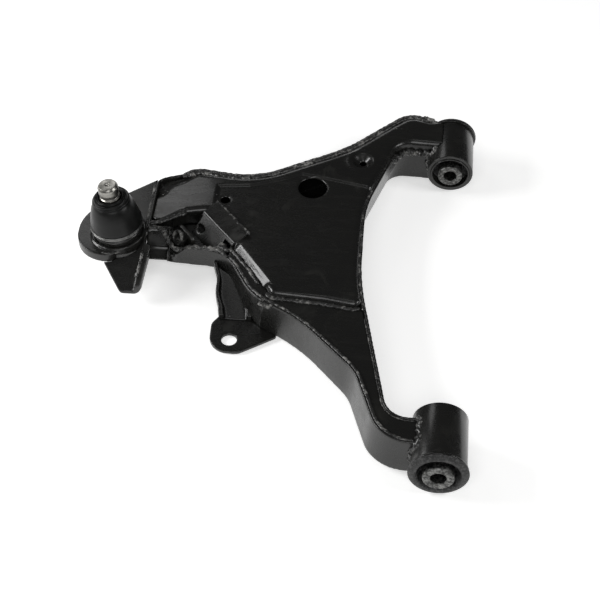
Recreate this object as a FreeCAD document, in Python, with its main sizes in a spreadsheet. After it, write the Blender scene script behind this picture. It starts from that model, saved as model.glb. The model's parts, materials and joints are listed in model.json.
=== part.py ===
"""Boxed lower suspension control arm with two rubber bushes and a pinch-type ball joint.

Frame: origin at the centre of the rear bush's bore, +Y along the pivot axis towards the front
bush, +X inboard, +Z up; the ball joint is outboard, at -X.  Millimetres throughout.
"""
import FreeCAD
import Part
import Sketcher
import os
from math import cos, radians, sin, sqrt

Vector = FreeCAD.Vector
Rotation = FreeCAD.Rotation
Placement = FreeCAD.Placement

SIZES = [
    ("sheet_wall", 3.0),            # pressed shell thickness
    ("shell_gap", 0.2),             # gap between the nested shells
    ("shell_floor", -27.0),         # underside of the legs
    ("shell_rim", 19.0),            # top edge of the lower shell
    ("web_top", 25.0),              # top face of the upper shell
    ("shoulder_radius", 7.0),       # outer bend along the upper shell's edges
    ("skirt_low", 2.0),             # lower edge of the upper shell's skirt
    ("leg_plate_top", 17.0),        # top face of the rear leg's cover plate
    ("pocket_side", -238.0),        # X where the cover plate ends and the shock pocket starts
    ("corner_foot", 239.5),         # Y where the lower shell's sloping corner starts
    ("corner_rise", -7.0),          # height of the sloping corner at its foot; it climbs at 45 degrees
    ("corner_side", -308.0),        # X of the sloping corner's inboard side
    ("rear_eye_radius", 28.4),
    ("rear_eye_inner", 24.4),
    ("rear_eye_start", -30.0),
    ("rear_eye_end", 34.0),
    ("rear_sleeve_radius", 16.1),
    ("rear_bore_radius", 8.1),
    ("rear_sleeve_half", 40.5),
    ("front_bush_centre", 435.0),
    ("front_eye_radius", 26.3),
    ("front_eye_inner", 22.3),
    ("front_eye_half", 31.5),
    ("front_sleeve_radius", 13.9),
    ("front_bore_radius", 7.3),
    ("front_sleeve_half", 36.7),
    ("bush_shell_wall", 1.8),
    ("flange_wall", 2.5),           # thickness of the bush shells' end flanges
    ("rear_flange_lip", 1.8),       # how far the flange stands out past the eye
    ("front_flange_lip", 2.0),
    ("running_fit", 0.05),
    ("ball_radius", 16.0),
    ("liner_radius", 20.0),
    ("liner_fit", 0.1),
    ("housing_radius", 27.0),
    ("collar_radius", 30.5),        # raised ring of the carrier round the housing
    ("stud_radius", 11.2),
    ("stud_height", 74.0),          # ball centre to the stud's tip
    ("neck_radius", 8.5),
    ("carrier_top", 14.0),
    ("carrier_wall", 5.0),
    ("carrier_rim_low", 3.0),
    ("outboard_floor", -7.0),       # underside of the lower shell at the ball joint
    ("bracket_wall", 4.0),
    ("shock_bolt_radius", 6.3),
    ("shock_gap_half", 15.0),       # half the clear width between the shock ears
    ("shock_bolt_height", 12.5),
    ("link_hole_radius", 8.4),
    ("weld_width", 2.4),
    ("eye_weld_width", 2.6),
]

BALL_CENTRE = Vector(-363.0, 258.5, 12.0)
STUD_LEAN = -6.0                    # degrees about +Y, so the stud's tip leans outboard
SHOCK_POINT = Vector(-278.0, 274.0, 0.0)
SHOCK_TURN = 40.0                   # degrees from +X to the shock bolt's axis

# Limits just beyond the whole arm, for boxes and prisms that cut right through it.
ARM_INBOARD = 40.0                  # X
ARM_OUTBOARD = -345.0               # X
ARM_REAR = -120.0                   # Y
ARM_FRONT = 640.0                   # Y
ARM_BELOW = -60.0                   # Z
ARM_ABOVE = 60.0                    # Z
CARRIER_FACE = -333.0               # X where the shells meet the ball joint's carrier

WEB_HOLES = [                       # (x, y, radius)
    (-155, 341, 16.0),              # lightening hole
    (-251, 313, 5.2),               # drain hole by the shock pocket
    (-101, 390, 3.6),               # hole in the far leg's dimple
]

doc = FreeCAD.newDocument("ControlArm")
sheet = doc.addObject("Spreadsheet::Sheet", "Sizes")
for row, (alias, size) in enumerate(SIZES, start=1):
    sheet.set("A%d" % row, alias)
    sheet.set("B%d" % row, str(size))
    sheet.setAlias("B%d" % row, alias)
doc.recompute()

pieces = []


def size_of(alias):
    """The number in one named cell."""
    return float(sheet.get(alias))


def keep(piece):
    """List an object as one of the arm's separate pieces."""
    pieces.append(piece)
    return piece


def origin_plane(body, role):
    """One of a body's own origin planes."""
    return next(f for f in body.Origin.OriginFeatures if f.Role == role)


# ---------------------------------------------------------------- outlines

def rounded_edges(corners):
    """Lines and tangent arcs round a closed outline of (x, y, corner radius)."""
    count = len(corners)
    starts = []
    ends = []
    middles = []
    for index, (x, y, radius) in enumerate(corners):
        here = Vector(x, y, 0)
        before = Vector(*corners[index - 1][:2], 0) - here
        after = Vector(*corners[(index + 1) % count][:2], 0) - here
        before.normalize()
        after.normalize()
        half = before.getAngle(after) / 2
        reach = radius * cos(half) / sin(half)
        bisector = before + after
        if radius > 0:
            bisector.normalize()
            middles.append(here + bisector * (radius / sin(half) - radius))
        else:
            middles.append(None)
        starts.append(here + before * reach)
        ends.append(here + after * reach)
    edges = []
    for index in range(count):
        if middles[index] is not None:
            edges.append(Part.Arc(starts[index], middles[index], ends[index]))
        following = starts[(index + 1) % count]
        if ends[index].distanceToPoint(following) > 1e-6:
            edges.append(Part.LineSegment(ends[index], following))
    return edges


def outline_face(corners, inset=0.0):
    """A flat face inside a rounded outline, drawn in by an inset."""
    wire = Part.Wire(Part.__sortEdges__([edge.toShape() for edge in rounded_edges(corners)]))
    if inset:
        wire = wire.makeOffset2D(-inset)
    return Part.Face(wire)


def prism(corners, low, high, inset=0.0):
    """A rounded outline raised from one height to another."""
    face = outline_face(corners, inset)
    face.translate(Vector(0, 0, low))
    return face.extrude(Vector(0, 0, high - low))


def side_prism(points):
    """An (x, z) outline drawn along Y, wider than the whole arm."""
    loop = [Vector(x, ARM_REAR, z) for x, z in points]
    return Part.Face(Part.makePolygon(loop + loop[:1])).extrude(Vector(0, ARM_FRONT - ARM_REAR, 0))


# ---------------------------------------------------------------- the arm's outline
# Each corner is (x, y, corner radius, lean); the lean is how far the corner has moved along X
# at the floor's height, because the legs' side walls aren't quite upright.

REAR_RIM = [                        # near wall, from the rear eye outboard
    (6, -13, 0, 0),
    (-60, -13, 46, -6),
    (-91, 76, 60, -5),
    (-160, 149, 200, 0),
    (-206, 170, 75, 0),
    (-242, 234, 42, 0),
]
OUTBOARD_END = [
    (-333, 239, 8, 0),
    (-333, 331, 12, 0),
]
FRONT_RIM = [                       # far wall, from the carrier back to the front eye
    (-291, 366, 22, 0),
    (-222, 356, 90, 0),
    (-122, 415, 150, 0),
    (-52, 485, 28, 0),
    (6, 464, 0, 0),
]
INNER_BAY = [                       # between the two legs
    (6, 421, 0, 0),
    (-60, 424, 22, -9),
    (-93, 320, 170, -9),
    (-92, 205, 400, -9),
    (-53, 20, 26, -9),
    (6, 20, 0, 0),
]
ARM_CORNERS = REAR_RIM + OUTBOARD_END + FRONT_RIM + INNER_BAY

WEB_EDGE = [                        # the upper shell's edge on the side of the rear leg
    (-83, 157, 12, -9),
    (-130, 165, 60, 0),
    (-188, 169, 12, 0),
    (-196, 184, 20, 0),
    (-236, 233, 12, 0),
    (-236, 247, 12, 0),
    (-265, 291, 12, 0),
    (-291, 288, 12, 0),
    (-333, 268, 12, 0),
]
UPPER_CORNERS = (WEB_EDGE + [(-333, 331, 12, 0)] + FRONT_RIM + INNER_BAY[:3]
                 + [(-92, 205, 290, -9)])


def arm_wire(height, inset, outline):
    """An outline of leaning corners at one height, drawn in by an inset."""
    rim = size_of("shell_rim")
    share = (rim - height) / (rim - size_of("shell_floor"))
    corners = [(x + lean * share, y, radius) for x, y, radius, lean in outline]
    wire = Part.Wire(Part.__sortEdges__([edge.toShape() for edge in rounded_edges(corners)]))
    if inset:
        wire = wire.makeOffset2D(-inset)
    wire.translate(Vector(0, 0, height))
    return wire


def arm_solid(low, high, inset=0.0, outline=ARM_CORNERS):
    """An outline of leaning corners between two heights, with ruled side walls."""
    wires = [arm_wire(height, inset, outline) for height in (low, high)]
    return Part.makeLoft(wires, True, True)


def shouldered_solid(low, top, inset, radius):
    """The upper shell's outline with its top edge rolled over in a few bends."""
    bends = 4
    solid = arm_solid(low, top - radius, inset, UPPER_CORNERS)
    for bend in range(bends):
        start = radians(90 * bend / bends)
        end = radians(90 * (bend + 1) / bends)
        wires = [arm_wire(top - radius + radius * sin(angle), inset + radius * (1 - cos(angle)),
                          UPPER_CORNERS) for angle in (start, end)]
        solid = solid.fuse(Part.makeLoft(wires, True, True))
    return solid


def eye_cutter(radius, start, end):
    """A cylinder on the pivot axis that keeps sheet metal out of a bush eye."""
    return Part.makeCylinder(radius, end - start, Vector(0, start, 0), Vector(0, 1, 0))


def both_eyes():
    """The room that the two bush eyes take, and nothing beyond the pivot axis."""
    reach = 60.0
    past_axis = 4.0
    middle = size_of("front_bush_centre")
    rear = eye_cutter(size_of("rear_eye_radius"), -reach, reach)
    front = eye_cutter(size_of("front_eye_radius"), middle - reach, middle + reach)
    beyond = Part.makeBox(ARM_INBOARD + past_axis, ARM_FRONT - ARM_REAR, ARM_ABOVE - ARM_BELOW,
                          Vector(-past_axis, ARM_REAR, ARM_BELOW))
    lip = size_of("front_flange_lip") + 1.0
    flange_start = middle + size_of("front_eye_half") - size_of("flange_wall") - size_of("shell_gap")
    flange_room = eye_cutter(size_of("front_eye_radius") + lip, flange_start, middle + reach)
    return rear.fuse([front, beyond, flange_room])


def corner_wedge(drop, side):
    """The room in front of the lower shell's sloping corner by the ball joint."""
    foot = size_of("corner_foot")
    rise = size_of("corner_rise")
    before = 10.0
    reach = 60.0
    points = [(foot - before, rise - before - drop), (foot + reach, rise + reach - drop),
              (foot - before, rise + reach - drop)]
    loop = [Vector(ARM_OUTBOARD, y, z) for y, z in points]
    edge = size_of("corner_side") + side
    return Part.Face(Part.makePolygon(loop + loop[:1])).extrude(Vector(edge - ARM_OUTBOARD, 0, 0))


def finished_shell(label, shape):
    """Keep one pressed shell as a piece, as a single clean solid."""
    solids = sorted(shape.Solids, key=lambda solid: solid.Volume)
    feature = doc.addObject("Part::Feature", label)
    feature.Shape = solids[-1].removeSplitter()
    return keep(feature)


def lower_shell():
    """The lower pressing: a floor that rises outboard, and walls round the whole arm."""
    wall = size_of("sheet_wall")
    floor = size_of("shell_floor")
    rim = size_of("shell_rim")
    raised = size_of("outboard_floor")
    slope_start = -200.0
    slope_end = -250.0
    above = rim + 9
    outer_side = side_prism([(ARM_INBOARD, floor), (slope_start, floor), (slope_end, raised),
                             (ARM_OUTBOARD, raised), (ARM_OUTBOARD, rim), (ARM_INBOARD, rim)])
    inner_side = side_prism([(ARM_INBOARD, floor + wall), (slope_start + 1, floor + wall),
                             (slope_end + 1, raised + wall), (ARM_OUTBOARD, raised + wall),
                             (ARM_OUTBOARD, above), (ARM_INBOARD, above)])
    outer = arm_solid(floor - 1, rim + 1).common(outer_side).cut(corner_wedge(0.0, 0.0))
    inner = arm_solid(floor - 1, rim + 12, wall).common(inner_side)
    inner = inner.cut(corner_wedge(wall * sqrt(2), wall))
    return finished_shell("lower_shell", outer.cut(inner).cut(both_eyes()))


def upper_solid(inset, drop):
    """The space under the upper shell's top, drawn in and down by given amounts."""
    top = size_of("web_top") - drop
    low = size_of("skirt_low") - 40.0 * (drop > 0)
    fall_start = -292.0
    fall_end = -322.0
    side = side_prism([(ARM_INBOARD, low), (ARM_OUTBOARD, low), (ARM_OUTBOARD, top - 8),
                       (fall_end, top - 7), (fall_start, top), (ARM_INBOARD, top)])
    edge = size_of("sheet_wall") + size_of("shell_gap")
    whole = shouldered_solid(low, top, edge + inset, size_of("shoulder_radius") - drop)
    return whole.common(side)


def upper_shell():
    """The upper pressing: web, far leg and outboard panel in one skirted sheet."""
    wall = size_of("sheet_wall")
    shell = upper_solid(0.0, 0.0).cut(upper_solid(wall, wall)).cut(both_eyes())
    web = size_of("web_top")
    for x, y, radius in WEB_HOLES:
        shell = shell.cut(Part.makeCylinder(radius, 20, Vector(x, y, web - 10)))
    return finished_shell("upper_shell", shell)


def rear_leg_room(low, high):
    """The space over the rear leg and the shock pocket that the upper shell leaves free."""
    edge = size_of("sheet_wall") + size_of("shell_gap")
    shape = arm_solid(low, high, edge)
    web = arm_solid(low - 1, high + 1, edge - size_of("shell_gap") / 2, UPPER_CORNERS)
    return shape.cut(web).cut(both_eyes())


def rear_leg_plate():
    """The cover plate on top of the rear leg, with a step down to the shock pocket."""
    wall = size_of("sheet_wall")
    top = size_of("leg_plate_top")
    low = size_of("skirt_low")
    side = size_of("pocket_side")
    corner = Vector(side, ARM_REAR, ARM_BELOW)
    depth = ARM_FRONT - ARM_REAR
    height = ARM_ABOVE - ARM_BELOW
    plate = rear_leg_room(top - wall, top).common(Part.makeBox(400, depth, height, corner))
    step = rear_leg_room(low, top - wall).common(Part.makeBox(wall, depth, height, corner))
    return finished_shell("rear_leg_plate", plate.fuse(step))


def pocket_pan():
    """The floor of the shock absorber's pocket."""
    low = size_of("skirt_low")
    wall = size_of("sheet_wall")
    pan = rear_leg_room(low - wall, low).cut(corner_wedge(wall * sqrt(2) + 0.4, wall + 0.3))
    room = Part.makeBox(size_of("pocket_side") - CARRIER_FACE, ARM_FRONT - ARM_REAR,
                        ARM_ABOVE - ARM_BELOW, Vector(CARRIER_FACE, ARM_REAR, ARM_BELOW))
    return finished_shell("pocket_pan", pan.common(room))


# ---------------------------------------------------------------- parametric bodies

def turned_body(label, profile, placement):
    """A body turned about its own Z axis from (radius, height) expressions."""
    body = doc.addObject("PartDesign::Body", label)
    body.Label = label
    sketch = body.newObject("Sketcher::SketchObject", label + "_profile")
    sketch.AttachmentSupport = (origin_plane(body, "XZ_Plane"), [""])
    sketch.MapMode = "FlatFace"
    points = [Vector(float(sketch.evalExpression(radius)), float(sketch.evalExpression(height)), 0)
              for radius, height in profile]
    count = len(points)
    for index in range(count):
        sketch.addGeometry(Part.LineSegment(points[index], points[(index + 1) % count]))
    for index in range(count):
        sketch.addConstraint(Sketcher.Constraint("Coincident", index, 2, (index + 1) % count, 1))
    for index, (radius, height) in enumerate(profile):
        for kind, number, rule in (("DistanceX", points[index].x, radius),
                                   ("DistanceY", points[index].y, height)):
            place = sketch.addConstraint(Sketcher.Constraint(kind, -1, 1, index, 1, number))
            sketch.setExpression("Constraints[%d]" % place, rule)
    turn = body.newObject("PartDesign::Revolution", label + "_turn")
    turn.Profile = sketch
    turn.ReferenceAxis = (sketch, ["V_Axis"])
    turn.Angle = 360
    body.Placement = placement
    return keep(body)


def padded_body(label, role, corners, start, length, placement, holes=()):
    """A flat plate of a rounded outline, with round holes, in one pad on an origin plane."""
    body = doc.addObject("PartDesign::Body", label)
    body.Label = label
    sketch = body.newObject("Sketcher::SketchObject", label + "_outline")
    sketch.AttachmentSupport = (origin_plane(body, role), [""])
    sketch.MapMode = "FlatFace"
    sketch.setExpression("AttachmentOffset.Base.z", start)
    sketch.addGeometry(rounded_edges(corners))
    for x, y, radius in holes:
        circle = Part.Circle(Vector(x, y, 0), Vector(0, 0, 1), size_of(radius))
        index = sketch.addGeometry(circle)
        place = sketch.addConstraint(Sketcher.Constraint("Radius", index, size_of(radius)))
        sketch.setExpression("Constraints[%d]" % place, "Sizes." + radius)
    pad = body.newObject("PartDesign::Pad", label + "_pad")
    pad.Profile = sketch
    pad.setExpression("Length", length)
    body.Placement = placement
    return keep(body)


ALONG_Y = Rotation(Vector(1, 0, 0), -90)
REAR_BUSH = Placement(Vector(0, 0, 0), ALONG_Y)
FRONT_BUSH = Placement(Vector(0, size_of("front_bush_centre"), 0), ALONG_Y)
BALL_JOINT = Placement(BALL_CENTRE, Rotation(Vector(0, 1, 0), STUD_LEAN))
SHOCK_MOUNT = Placement(SHOCK_POINT, Rotation(Vector(0, 0, 1), SHOCK_TURN))
UNMOVED = Placement()


def ring(inner, outer, low, high):
    """The four corners of a plain tube's section, as expressions."""
    return [(inner, low), (outer, low), (outer, high), (inner, high)]


def rear_bush():
    """The rear eye and, inside it, the flanged shell, bonded rubber and inner sleeve."""
    turned_body("rear_eye", ring("Sizes.rear_eye_inner", "Sizes.rear_eye_radius",
                                 "Sizes.rear_eye_start", "Sizes.rear_eye_end"), REAR_BUSH)
    turned_body("rear_bush_shell", [
        ("Sizes.rear_eye_inner - Sizes.bush_shell_wall", "Sizes.rear_eye_start - Sizes.flange_wall"),
        ("Sizes.rear_eye_radius + Sizes.rear_flange_lip", "Sizes.rear_eye_start - Sizes.flange_wall"),
        ("Sizes.rear_eye_radius + Sizes.rear_flange_lip", "Sizes.rear_eye_start"),
        ("Sizes.rear_eye_inner", "Sizes.rear_eye_start"),
        ("Sizes.rear_eye_inner", "Sizes.rear_eye_end + 1.5"),
        ("Sizes.rear_eye_inner - Sizes.bush_shell_wall", "Sizes.rear_eye_end + 1.5"),
    ], REAR_BUSH)
    turned_body("rear_bush_rubber", [
        ("Sizes.rear_sleeve_radius + Sizes.running_fit", "-24"),
        ("Sizes.rear_sleeve_radius + 3", "-25"),
        ("Sizes.rear_eye_inner - 3", "-37.5"),
        ("Sizes.rear_eye_radius + 1", "-35"),
        ("Sizes.rear_eye_radius + 2.4", "Sizes.rear_eye_start - Sizes.flange_wall"),
        ("Sizes.rear_eye_inner - Sizes.bush_shell_wall", "Sizes.rear_eye_start - Sizes.flange_wall"),
        ("Sizes.rear_eye_inner - Sizes.bush_shell_wall", "33"),
        ("Sizes.rear_sleeve_radius + 3", "29"),
        ("Sizes.rear_sleeve_radius + Sizes.running_fit", "32"),
    ], REAR_BUSH)
    turned_body("rear_inner_sleeve", ring("Sizes.rear_bore_radius", "Sizes.rear_sleeve_radius",
                                          "-Sizes.rear_sleeve_half", "Sizes.rear_sleeve_half"),
                REAR_BUSH)


def front_bush():
    """The front eye and bush: as the rear one, but smaller and flanged on its front end."""
    turned_body("front_eye", ring("Sizes.front_eye_inner", "Sizes.front_eye_radius",
                                  "-Sizes.front_eye_half",
                                  "Sizes.front_eye_half - Sizes.flange_wall"), FRONT_BUSH)
    turned_body("front_bush_shell", [
        ("Sizes.front_eye_inner - Sizes.bush_shell_wall", "-Sizes.front_eye_half - 1"),
        ("Sizes.front_eye_inner", "-Sizes.front_eye_half - 1"),
        ("Sizes.front_eye_inner", "Sizes.front_eye_half - Sizes.flange_wall"),
        ("Sizes.front_eye_radius + Sizes.front_flange_lip", "Sizes.front_eye_half - Sizes.flange_wall"),
        ("Sizes.front_eye_radius + Sizes.front_flange_lip", "Sizes.front_eye_half"),
        ("Sizes.front_eye_inner - Sizes.bush_shell_wall", "Sizes.front_eye_half"),
    ], FRONT_BUSH)
    turned_body("front_bush_rubber", [
        ("Sizes.front_sleeve_radius + Sizes.running_fit", "-29"),
        ("Sizes.front_sleeve_radius + 2.5", "-26"),
        ("Sizes.front_eye_inner - Sizes.bush_shell_wall", "-30"),
        ("Sizes.front_eye_inner - Sizes.bush_shell_wall", "Sizes.front_eye_half"),
        ("Sizes.front_eye_radius + 2.5", "Sizes.front_eye_half"),
        ("Sizes.front_eye_radius + 1", "34"),
        ("Sizes.front_eye_inner - 2", "35.5"),
        ("Sizes.front_sleeve_radius + 2.5", "27"),
        ("Sizes.front_sleeve_radius + Sizes.running_fit", "27"),
    ], FRONT_BUSH)
    turned_body("front_inner_sleeve", ring("Sizes.front_bore_radius", "Sizes.front_sleeve_radius",
                                           "-Sizes.front_sleeve_half", "Sizes.front_sleeve_half"),
                FRONT_BUSH)


# ---------------------------------------------------------------- ball joint

def ball_stud():
    """The ball and its tapered neck, with a pinch-bolt groove below the plain tip."""
    body = turned_body("ball_stud", [
        ("0", "0"),
        ("Sizes.neck_radius", "0"),
        ("Sizes.neck_radius", "26"),
        ("Sizes.stud_radius + 0.8", "44"),
        ("Sizes.stud_radius + 0.8", "52"),
        ("Sizes.stud_radius", "54"),
        ("Sizes.stud_radius", "Sizes.stud_height - 16"),
        ("Sizes.stud_radius - 1.6", "Sizes.stud_height - 15"),
        ("Sizes.stud_radius - 1.6", "Sizes.stud_height - 11"),
        ("Sizes.stud_radius", "Sizes.stud_height - 10"),
        ("Sizes.stud_radius", "Sizes.stud_height - 2"),
        ("Sizes.stud_radius - 2", "Sizes.stud_height"),
        ("2", "Sizes.stud_height"),
        ("0", "Sizes.stud_height - 3"),
    ], BALL_JOINT)
    ball = body.newObject("PartDesign::AdditiveSphere", "ball")
    ball.setExpression("Radius", "Sizes.ball_radius")
    return body


def ball_seat():
    """The polymer seat that wraps the ball past its equator."""
    body = turned_body("ball_seat", ring("0", "Sizes.liner_radius", "-18", "7.9"), BALL_JOINT)
    cavity = body.newObject("PartDesign::SubtractiveSphere", "cavity")
    cavity.setExpression("Radius", "Sizes.ball_radius + Sizes.liner_fit")
    return body


def ball_joint_housing():
    """The forged cup that is pressed into the carrier, with a groove for the boot."""
    turned_body("ball_joint_housing", [
        ("Sizes.liner_radius + Sizes.liner_fit", "8"),
        ("Sizes.liner_radius + Sizes.liner_fit", "-18"),
        ("22", "-18"),
        ("22", "-23"),
        ("Sizes.housing_radius - 2", "-23"),
        ("Sizes.housing_radius", "-21"),
        ("Sizes.housing_radius", "15"),
        ("25.5", "15"),
        ("25.5", "19"),
        ("20.5", "19"),
        ("15.5", "8"),
    ], BALL_JOINT)
    turned_body("ball_joint_cap", [
        ("0", "-20.6"),
        ("22", "-22.5"),
        ("22", "-18.1"),
        ("0", "-18.1"),
    ], BALL_JOINT)


def dust_boot():
    """The rubber bell between the housing and the stud, and the rings that hold it."""
    turned_body("dust_boot", [
        ("25.6", "15.2"),
        ("28.6", "15.2"),
        ("28.6", "21"),
        ("27", "25"),
        ("23.6", "38"),
        ("20", "50"),
        ("16.5", "52"),
        ("16.5", "56"),
        ("12.4", "56"),
        ("12.4", "52"),
        ("17", "49"),
        ("20.6", "38"),
        ("24.4", "25"),
        ("25.6", "20"),
    ], BALL_JOINT)
    turned_body("boot_lower_ring", ring("28.6", "29.6", "16", "20"), BALL_JOINT)
    turned_body("boot_upper_clip", ring("16.8", "19", "52.4", "56.4"), BALL_JOINT)


CARRIER = [
    (-333.2, 255, 0),
    (-349, 247, 16),
    (-366, 222, 14),
    (-409.5, 226, 35),
    (-409, 286.5, 49),
    (-333.2, 349, 0),
]


def leaning_cylinder(radius, low, high):
    """A cylinder on the ball joint's own leaning axis."""
    shape = Part.makeCylinder(radius, high - low, Vector(0, 0, low))
    shape.Placement = BALL_JOINT
    return shape


def ball_joint_carrier():
    """The outboard plate with a turned-down rim and a raised collar round the housing."""
    top = size_of("carrier_top")
    wall = size_of("carrier_wall")
    low = size_of("carrier_rim_low")
    shape = prism(CARRIER, low, top).cut(prism(CARRIER, low - 1, top - wall, wall))
    collar = leaning_cylinder(size_of("collar_radius"), -6, 6)
    over_plate = Vector(BALL_CENTRE.x - 100, BALL_CENTRE.y - 100, top - wall)
    collar = collar.common(Part.makeBox(200, 200, 40, over_plate))
    shape = shape.fuse(collar).cut(leaning_cylinder(size_of("housing_radius"), -30, 30))
    shape = shape.cut(arm_solid(ARM_BELOW, ARM_ABOVE))
    return finished_shell("ball_joint_carrier", shape)


# ---------------------------------------------------------------- brackets

def sloped_slab(level, at_y, rise, thickness):
    """A slab that climbs along Y: its underside is at a level, at a Y, with a rise per mm."""
    near = 100.0
    far = 340.0
    points = [(near, level + (near - at_y) * rise), (far, level + (far - at_y) * rise)]
    outboard = -450.0
    loop = [Vector(outboard, y, z) for y, z in points]
    loop += [Vector(outboard, y, z + thickness) for y, z in reversed(points)]
    return Part.Face(Part.makePolygon(loop + loop[:1])).extrude(Vector(300, 0, 0))


def steering_stop():
    """The stop plate that slopes down from the carrier's rear edge, with a raised side rib."""
    wall = size_of("bracket_wall")
    leaf = [(-378, 226, 5), (-354, 193, 9), (-332, 194, 9), (-325, 236, 0),
            (-330, 262, 0), (-379, 262, 0)]
    rib = [(-339, 190, 0), (-330, 190, 0), (-324, 236, 0), (-328, 248, 0), (-333, 248, 0)]
    tip = 197.0                     # Y of the leaf's lowest end
    tip_level = -13.5
    rise = 0.52
    rib_height = 2.6 * wall
    whole = prism(leaf, ARM_BELOW, ARM_ABOVE)
    plate = whole.common(sloped_slab(tip_level, tip, rise, wall))
    side = whole.common(prism(rib, ARM_BELOW, ARM_ABOVE))
    side = side.common(sloped_slab(tip_level, tip, rise, rib_height))
    shape = plate.fuse(side).cut(prism(CARRIER, ARM_BELOW, ARM_ABOVE))
    shape = shape.cut(arm_solid(ARM_BELOW, ARM_ABOVE))
    shape = shape.cut(leaning_cylinder(size_of("collar_radius"), ARM_BELOW, ARM_ABOVE))
    return finished_shell("steering_stop", shape)


def shock_brackets():
    """The two ears that take the shock absorber's lower bolt, and its weld nut."""
    bolt = size_of("shock_bolt_height")
    bottom = size_of("skirt_low")
    inboard = [(-37, bottom, 0), (8.5, bottom, 0), (8.5, 27, 0), (-37, 27, 0)]
    outboard = [(-20, bottom, 0), (11, bottom, 0), (11, 23, 8), (-20, 23, 8)]
    hole = [(0, bolt, "shock_bolt_radius")]
    saddle = padded_body("shock_saddle", "YZ_Plane", inboard, "Sizes.shock_gap_half",
                         "Sizes.bracket_wall", SHOCK_MOUNT, hole)
    flange = saddle.newObject("Sketcher::SketchObject", "saddle_flange_outline")
    flange.AttachmentSupport = (origin_plane(saddle, "XY_Plane"), [""])
    flange.MapMode = "FlatFace"
    flange.setExpression("AttachmentOffset.Base.z", "Sizes.web_top + 0.1")
    reach = size_of("shock_gap_half")
    flange.addGeometry(rounded_edges([(reach, -52, 3), (reach + 19, -52, 4),
                                      (reach + 19, 11, 4), (reach, 11, 0)]))
    top = saddle.newObject("PartDesign::Pad", "saddle_flange")
    top.Profile = flange
    top.setExpression("Length", "Sizes.bracket_wall - 0.5")
    padded_body("shock_ear", "YZ_Plane", outboard, "-Sizes.shock_gap_half - Sizes.bracket_wall",
                "Sizes.bracket_wall", SHOCK_MOUNT, hole)
    seat = SHOCK_MOUNT.multiply(Placement(Vector(0, 0, bolt), Rotation(Vector(0, 1, 0), -90)))
    turned_body("shock_weld_nut", [
        ("Sizes.shock_bolt_radius - 1", "Sizes.shock_gap_half + Sizes.bracket_wall"),
        ("9", "Sizes.shock_gap_half + Sizes.bracket_wall"),
        ("9", "Sizes.shock_gap_half + Sizes.bracket_wall + 2"),
        ("8.5", "Sizes.shock_gap_half + Sizes.bracket_wall + 8"),
        ("Sizes.shock_bolt_radius - 1", "Sizes.shock_gap_half + Sizes.bracket_wall + 8"),
    ], seat)


def link_bracket():
    """The plate under the rear leg that takes the stabilizer link, and its sloping gusset."""
    lobe = [(-241, 186, 2), (-251, 170, 12), (-250, 131, 22), (-218, 130, 18), (-178, 157, 3),
            (-190, 176, 6), (-222, 186, 6)]
    padded_body("link_plate", "XY_Plane", lobe, "Sizes.shell_floor - Sizes.bracket_wall",
                "Sizes.bracket_wall", UNMOVED, [(-229, 148, "link_hole_radius")])
    wall = size_of("bracket_wall")
    floor = size_of("shell_floor")
    foot = 182.0                    # Y where the gusset leaves the link plate
    rise = 0.45
    rib_height = 2.5 * wall
    gusset = [(-244, 176, 0), (-257, 250, 0), (-226, 250, 0), (-220, 176, 0)]
    left = [(-244, 176, 0), (-257, 250, 0), (-253, 250, 0), (-240, 176, 0)]
    right = [(-224, 176, 0), (-230, 250, 0), (-226, 250, 0), (-220, 176, 0)]
    plate = prism(gusset, ARM_BELOW, ARM_ABOVE).common(sloped_slab(floor, foot, rise, wall))
    sides = prism(left, ARM_BELOW, ARM_ABOVE).fuse(prism(right, ARM_BELOW, ARM_ABOVE))
    sides = sides.common(sloped_slab(floor, foot, rise, rib_height))
    shape = plate.fuse(sides).cut(arm_solid(ARM_BELOW, ARM_ABOVE))
    above = Part.makeBox(200, 300, 60, Vector(-300, 100, floor))
    return finished_shell("link_gusset", shape.common(above))


# ---------------------------------------------------------------- weld beads

def rim_weld():
    """The bead on the lower shell's front rim, against the upper shell's wall."""
    rim = size_of("shell_rim")
    edge = size_of("sheet_wall") + size_of("shell_gap")
    width = size_of("weld_width")
    bead = arm_solid(rim, rim + width, edge - width).cut(arm_solid(rim - 1, rim + 4, edge))
    front_side = prism([(-331, 305, 0), (-331, 420, 0), (-100, 520, 0), (-22, 520, 0),
                        (-22, 445, 0), (-60, 450, 0), (-115, 395, 0), (-200, 335, 0)], rim - 1, rim + 4)
    return finished_shell("rim_weld", bead.common(front_side))


def web_weld():
    """The bead where the upper shell meets the rear leg's cover plate."""
    top = size_of("leg_plate_top")
    width = size_of("weld_width")
    room = rear_leg_room(top, top + width)
    line = [(-192, 200, 0), (-170, 196, 0), (-62, 182, 0), (-62, 155, 0), (-192, 160, 0)]
    grown = arm_solid(top - 1, top + 4, size_of("sheet_wall") + size_of("shell_gap") - width,
                      UPPER_CORNERS)
    return finished_shell("web_weld", room.common(prism(line, top - 1, top + 4)).common(grown))


def eye_weld(label, radius, start, end):
    """A bead on a bush eye, round the end of the leg that meets it."""
    width = size_of("eye_weld_width")
    band = eye_cutter(radius + width, start - width, end + width)
    band = band.cut(eye_cutter(radius, start - width, end + width))
    leg_side = Part.makeBox(40, end - start + 2 * width, 52, Vector(-46, start - width, -28))
    bead = band.common(leg_side).cut(arm_solid(ARM_BELOW, size_of("shell_rim")))
    bead = bead.cut(upper_solid(0.0, 0.0))
    feature = doc.addObject("Part::Feature", label)
    feature.Shape = Part.Compound(bead.Solids)
    return keep(feature)


def eye_welds():
    """The beads that join both legs to their bush eyes."""
    eye_weld("rear_eye_weld", size_of("rear_eye_radius"), -13, 20)
    eye_weld("front_eye_weld", size_of("front_eye_radius"), 421, 461)


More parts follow.
